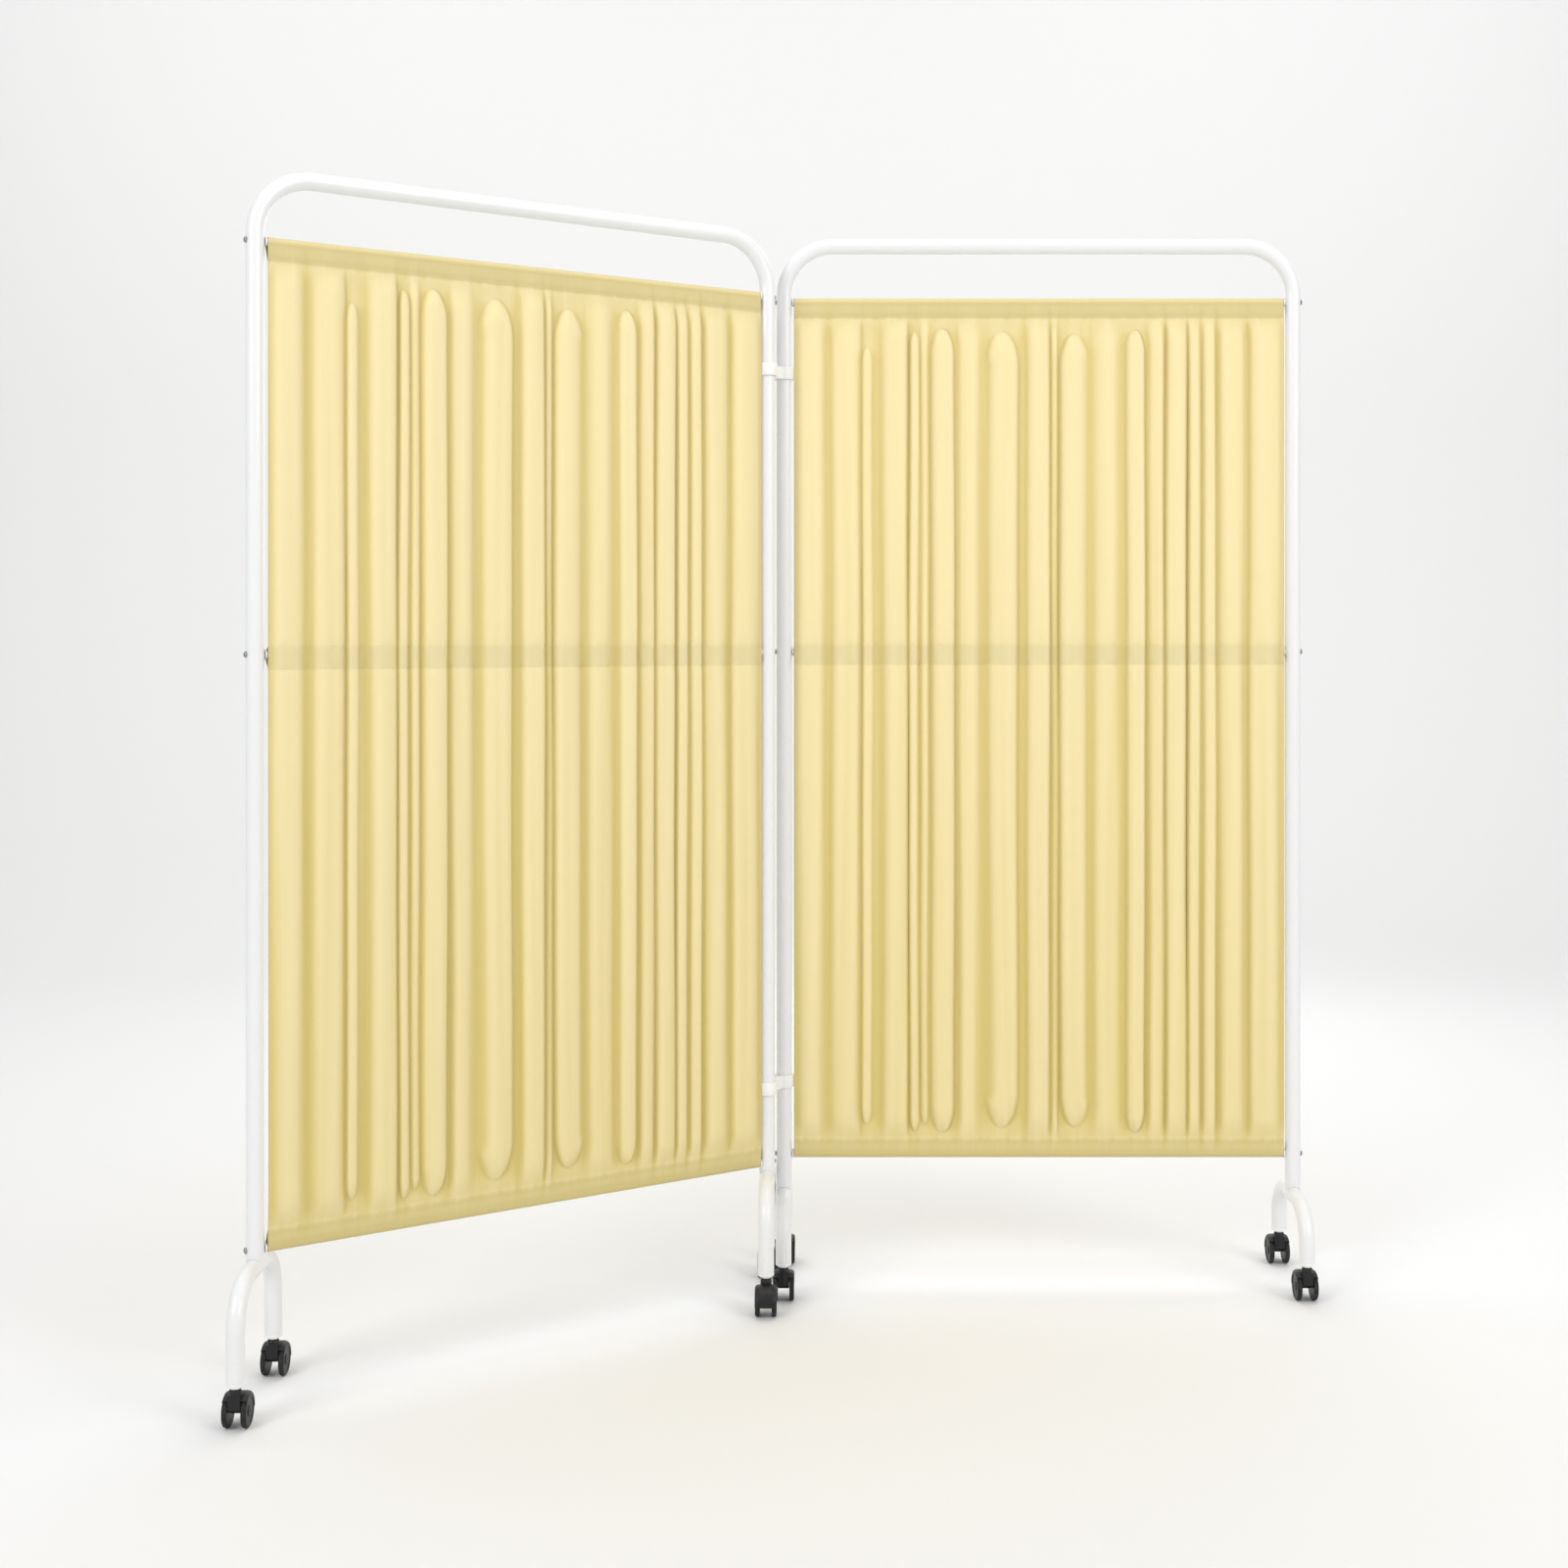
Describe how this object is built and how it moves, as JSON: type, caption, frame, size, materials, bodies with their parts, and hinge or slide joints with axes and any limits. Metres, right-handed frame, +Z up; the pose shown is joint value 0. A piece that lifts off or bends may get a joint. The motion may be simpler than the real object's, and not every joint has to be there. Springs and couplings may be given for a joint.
{
  "type": "folding privacy screen",
  "caption": "Folding ward privacy screen: bent-tube panels with ruffled curtains on rods, hinged at the posts and standing on arched feet with swivel castors.",
  "frame": {"origin": "on the floor, under the middle of the whole opened screen", "axes": "+Z up; +X to the right along the right panel as seen from the front; +Y towards the back"},
  "size_m": [1.583, 0.7378, 1.6996],
  "materials": {
    "white_paint": "smooth semi-gloss powder coat",
    "white_plastic": "satin moulded plastic",
    "black_plastic": "satin moulded plastic",
    "wheel_plastic": "worn matt tread and satin face",
    "screw_steel": "zinc-plated",
    "cream_cloth": "thin translucent woven cloth with sewn hems"
  },
  "bodies": {
    "right_panel": {"right_bottom_inner_screw": "screw_steel", "right_bottom_outer_screw": "screw_steel", "right_bottom_rod": "white_paint", "right_curtain": "cream_cloth", "right_frame": "white_paint", "right_inner_foot": "white_paint", "right_inner_front_castor_stem": "white_plastic", "right_inner_rear_castor_stem": "white_plastic", "right_middle_inner_screw": "screw_steel", "right_middle_outer_screw": "screw_steel", "right_middle_rod": "white_paint", "right_outer_foot": "white_paint", "right_outer_front_castor_stem": "white_plastic", "right_outer_rear_castor_stem": "white_plastic", "right_top_inner_screw": "screw_steel", "right_top_outer_screw": "screw_steel", "right_top_rod": "white_paint"},
    "left_panel": {"left_bottom_inner_screw": "screw_steel", "left_bottom_outer_screw": "screw_steel", "left_bottom_rod": "white_paint", "left_curtain": "cream_cloth", "left_frame": "white_paint", "left_inner_foot": "white_paint", "left_inner_front_castor_stem": "white_plastic", "left_inner_rear_castor_stem": "white_plastic", "left_middle_inner_screw": "screw_steel", "left_middle_outer_screw": "screw_steel", "left_middle_rod": "white_paint", "left_outer_foot": "white_paint", "left_outer_front_castor_stem": "white_plastic", "left_outer_rear_castor_stem": "white_plastic", "left_top_inner_screw": "screw_steel", "left_top_outer_screw": "screw_steel", "left_top_rod": "white_paint", "lower_hinge_clip": "white_plastic", "upper_hinge_clip": "white_plastic"},
    "right_inner_front_castor_swivel": {"right_inner_front_castor_hood": "black_plastic"},
    "right_inner_front_castor_wheels": {"right_inner_front_castor_left_wheel": "wheel_plastic", "right_inner_front_castor_right_wheel": "wheel_plastic"},
    "right_inner_rear_castor_swivel": {"right_inner_rear_castor_hood": "black_plastic"},
    "right_inner_rear_castor_wheels": {"right_inner_rear_castor_left_wheel": "wheel_plastic", "right_inner_rear_castor_right_wheel": "wheel_plastic"},
    "right_outer_front_castor_swivel": {"right_outer_front_castor_hood": "black_plastic"},
    "right_outer_front_castor_wheels": {"right_outer_front_castor_left_wheel": "wheel_plastic", "right_outer_front_castor_right_wheel": "wheel_plastic"},
    "right_outer_rear_castor_swivel": {"right_outer_rear_castor_hood": "black_plastic"},
    "right_outer_rear_castor_wheels": {"right_outer_rear_castor_left_wheel": "wheel_plastic", "right_outer_rear_castor_right_wheel": "wheel_plastic"},
    "left_inner_front_castor_swivel": {"left_inner_front_castor_hood": "black_plastic"},
    "left_inner_front_castor_wheels": {"left_inner_front_castor_left_wheel": "wheel_plastic", "left_inner_front_castor_right_wheel": "wheel_plastic"},
    "left_inner_rear_castor_swivel": {"left_inner_rear_castor_hood": "black_plastic"},
    "left_inner_rear_castor_wheels": {"left_inner_rear_castor_left_wheel": "wheel_plastic", "left_inner_rear_castor_right_wheel": "wheel_plastic"},
    "left_outer_front_castor_swivel": {"left_outer_front_castor_hood": "black_plastic"},
    "left_outer_front_castor_wheels": {"left_outer_front_castor_left_wheel": "wheel_plastic", "left_outer_front_castor_right_wheel": "wheel_plastic"},
    "left_outer_rear_castor_swivel": {"left_outer_rear_castor_hood": "black_plastic"},
    "left_outer_rear_castor_wheels": {"left_outer_rear_castor_left_wheel": "wheel_plastic", "left_outer_rear_castor_right_wheel": "wheel_plastic"}
  },
  "joints": [
    {"name": "panel_fold", "type": "hinge", "parent": "right_panel", "child": "left_panel", "pos_m": [-0.05354, 0.23917, 0.9], "axis": [0, 0, 1], "range_deg": [0, 57]},
    {"name": "right_inner_front_castor_swivel_turn", "type": "hinge", "parent": "right_panel", "child": "right_inner_front_castor_swivel", "pos_m": [-0.05354, 0.14617, 0.04], "axis": [0, 0, 1], "continuous": true},
    {"name": "right_inner_front_castor_wheel_roll", "type": "hinge", "parent": "right_inner_front_castor_swivel", "child": "right_inner_front_castor_wheels", "pos_m": [-0.05354, 0.15717, 0.022], "axis": [1, 0, 0], "continuous": true},
    {"name": "right_inner_rear_castor_swivel_turn", "type": "hinge", "parent": "right_panel", "child": "right_inner_rear_castor_swivel", "pos_m": [-0.05354, 0.33217, 0.04], "axis": [0, 0, 1], "continuous": true},
    {"name": "right_inner_rear_castor_wheel_roll", "type": "hinge", "parent": "right_inner_rear_castor_swivel", "child": "right_inner_rear_castor_wheels", "pos_m": [-0.05354, 0.34317, 0.022], "axis": [1, 0, 0], "continuous": true},
    {"name": "right_outer_front_castor_swivel_turn", "type": "hinge", "parent": "right_panel", "child": "right_outer_front_castor_swivel", "pos_m": [0.77446, 0.14617, 0.04], "axis": [0, 0, 1], "continuous": true},
    {"name": "right_outer_front_castor_wheel_roll", "type": "hinge", "parent": "right_outer_front_castor_swivel", "child": "right_outer_front_castor_wheels", "pos_m": [0.77446, 0.15717, 0.022], "axis": [1, 0, 0], "continuous": true},
    {"name": "right_outer_rear_castor_swivel_turn", "type": "hinge", "parent": "right_panel", "child": "right_outer_rear_castor_swivel", "pos_m": [0.77446, 0.33217, 0.04], "axis": [0, 0, 1], "continuous": true},
    {"name": "right_outer_rear_castor_wheel_roll", "type": "hinge", "parent": "right_outer_rear_castor_swivel", "child": "right_outer_rear_castor_wheels", "pos_m": [0.77446, 0.34317, 0.022], "axis": [1, 0, 0], "continuous": true},
    {"name": "left_inner_front_castor_swivel_turn", "type": "hinge", "parent": "left_panel", "child": "left_inner_front_castor_swivel", "pos_m": [-0.08004, 0.09417, 0.04], "axis": [0, 0, 1], "continuous": true},
    {"name": "left_inner_front_castor_wheel_roll", "type": "hinge", "parent": "left_inner_front_castor_swivel", "child": "left_inner_front_castor_wheels", "pos_m": [-0.08004, 0.08317, 0.022], "axis": [1, 0, 0], "continuous": true},
    {"name": "left_inner_rear_castor_swivel_turn", "type": "hinge", "parent": "left_panel", "child": "left_inner_rear_castor_swivel", "pos_m": [-0.08004, 0.28017, 0.04], "axis": [0, 0, 1], "continuous": true},
    {"name": "left_inner_rear_castor_wheel_roll", "type": "hinge", "parent": "left_inner_rear_castor_swivel", "child": "left_inner_rear_castor_wheels", "pos_m": [-0.08004, 0.26917, 0.022], "axis": [1, 0, 0], "continuous": true},
    {"name": "left_outer_front_castor_swivel_turn", "type": "hinge", "parent": "left_panel", "child": "left_outer_front_castor_swivel", "pos_m": [-0.77446, -0.35679, 0.04], "axis": [0, 0, 1], "continuous": true},
    {"name": "left_outer_front_castor_wheel_roll", "type": "hinge", "parent": "left_outer_front_castor_swivel", "child": "left_outer_front_castor_wheels", "pos_m": [-0.77446, -0.34579, 0.022], "axis": [1, 0, 0], "continuous": true},
    {"name": "left_outer_rear_castor_swivel_turn", "type": "hinge", "parent": "left_panel", "child": "left_outer_rear_castor_swivel", "pos_m": [-0.77446, -0.17079, 0.04], "axis": [0, 0, 1], "continuous": true},
    {"name": "left_outer_rear_castor_wheel_roll", "type": "hinge", "parent": "left_outer_rear_castor_swivel", "child": "left_outer_rear_castor_wheels", "pos_m": [-0.77446, -0.15979, 0.022], "axis": [1, 0, 0], "continuous": true}
  ]
}
